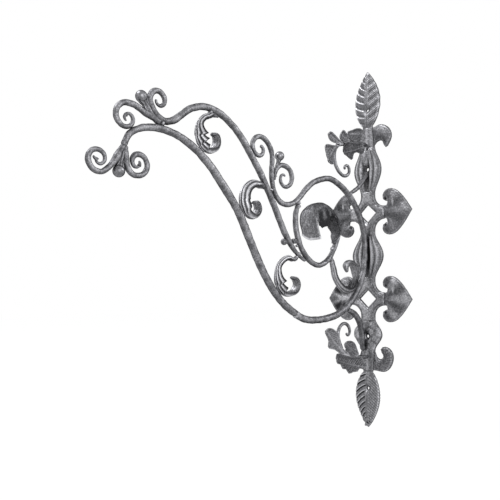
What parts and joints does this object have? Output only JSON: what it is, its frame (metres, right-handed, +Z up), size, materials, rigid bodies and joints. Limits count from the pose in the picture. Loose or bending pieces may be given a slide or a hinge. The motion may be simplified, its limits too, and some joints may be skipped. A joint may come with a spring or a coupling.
{
  "type": "hanging sign bracket",
  "caption": "Forged iron wall bracket for a hanging sign: leafed wall plate, ring, and a scrolled arching arm with acanthus scrolls and balls.",
  "frame": {"origin": "on the wall, at the middle of the plate's back face", "axes": "+Z up along the plate, +Y into the wall, and the arm reaches out along -Y"},
  "size_m": [0.2466, 0.7663, 0.884],
  "materials": {
    "forged_bar": "satin, hammered flats, dark forge patina",
    "plate_iron": "satin, cast and filed, dark patina",
    "chased_leaf": "satin, chased veins with rubbed highlights",
    "sprig_sheet": "matt, darker sheet iron",
    "forged_ball": "satin, rubbed"
  },
  "bodies": {
    "root": {"top_leaf": "chased_leaf", "upper_collar": "plate_iron", "upper_petal_right": "chased_leaf", "upper_petal_left": "chased_leaf", "upper_pod": "plate_iron", "upper_cross": "plate_iron", "upper_spade_right": "chased_leaf", "upper_spade_left": "chased_leaf", "middle_pod": "plate_iron", "lower_cross": "plate_iron", "lower_spade_right": "chased_leaf", "lower_spade_left": "chased_leaf", "lower_pod": "plate_iron", "lower_collar": "plate_iron", "lower_petal_right": "chased_leaf", "lower_petal_left": "chased_leaf", "bottom_leaf": "chased_leaf", "tip_bead": "forged_ball", "lower_bar": "forged_bar", "ring_bar": "forged_bar", "upper_bar": "forged_bar", "loop_bar": "forged_bar", "end_scroll_outer": "forged_bar", "end_scroll_inner": "forged_bar", "crest_scroll": "forged_bar", "mid_scroll": "forged_bar", "end_ball": "forged_ball", "crest_ball": "forged_ball", "mid_ball": "forged_ball", "acanthus_1": "chased_leaf", "acanthus_2": "chased_leaf", "acanthus_3": "chased_leaf", "acanthus_4": "chased_leaf", "curled_leaf": "chased_leaf", "tie_knob": "forged_bar", "tie_spacer": "forged_bar", "upper_brace": "forged_bar", "lower_brace": "forged_bar", "upper_sprig_stem": "sprig_sheet", "upper_sprig_long_leaf": "sprig_sheet", "upper_sprig_top_leaf": "sprig_sheet", "upper_sprig_blade": "sprig_sheet", "upper_sprig_lobed_leaf": "sprig_sheet", "upper_sprig_folded_leaf": "sprig_sheet", "upper_tendril": "sprig_sheet", "lower_sprig_stem": "sprig_sheet", "lower_sprig_long_leaf": "sprig_sheet", "lower_sprig_top_leaf": "sprig_sheet", "lower_sprig_lobed_leaf": "sprig_sheet", "lower_tendril": "sprig_sheet"}
  },
  "joints": []
}
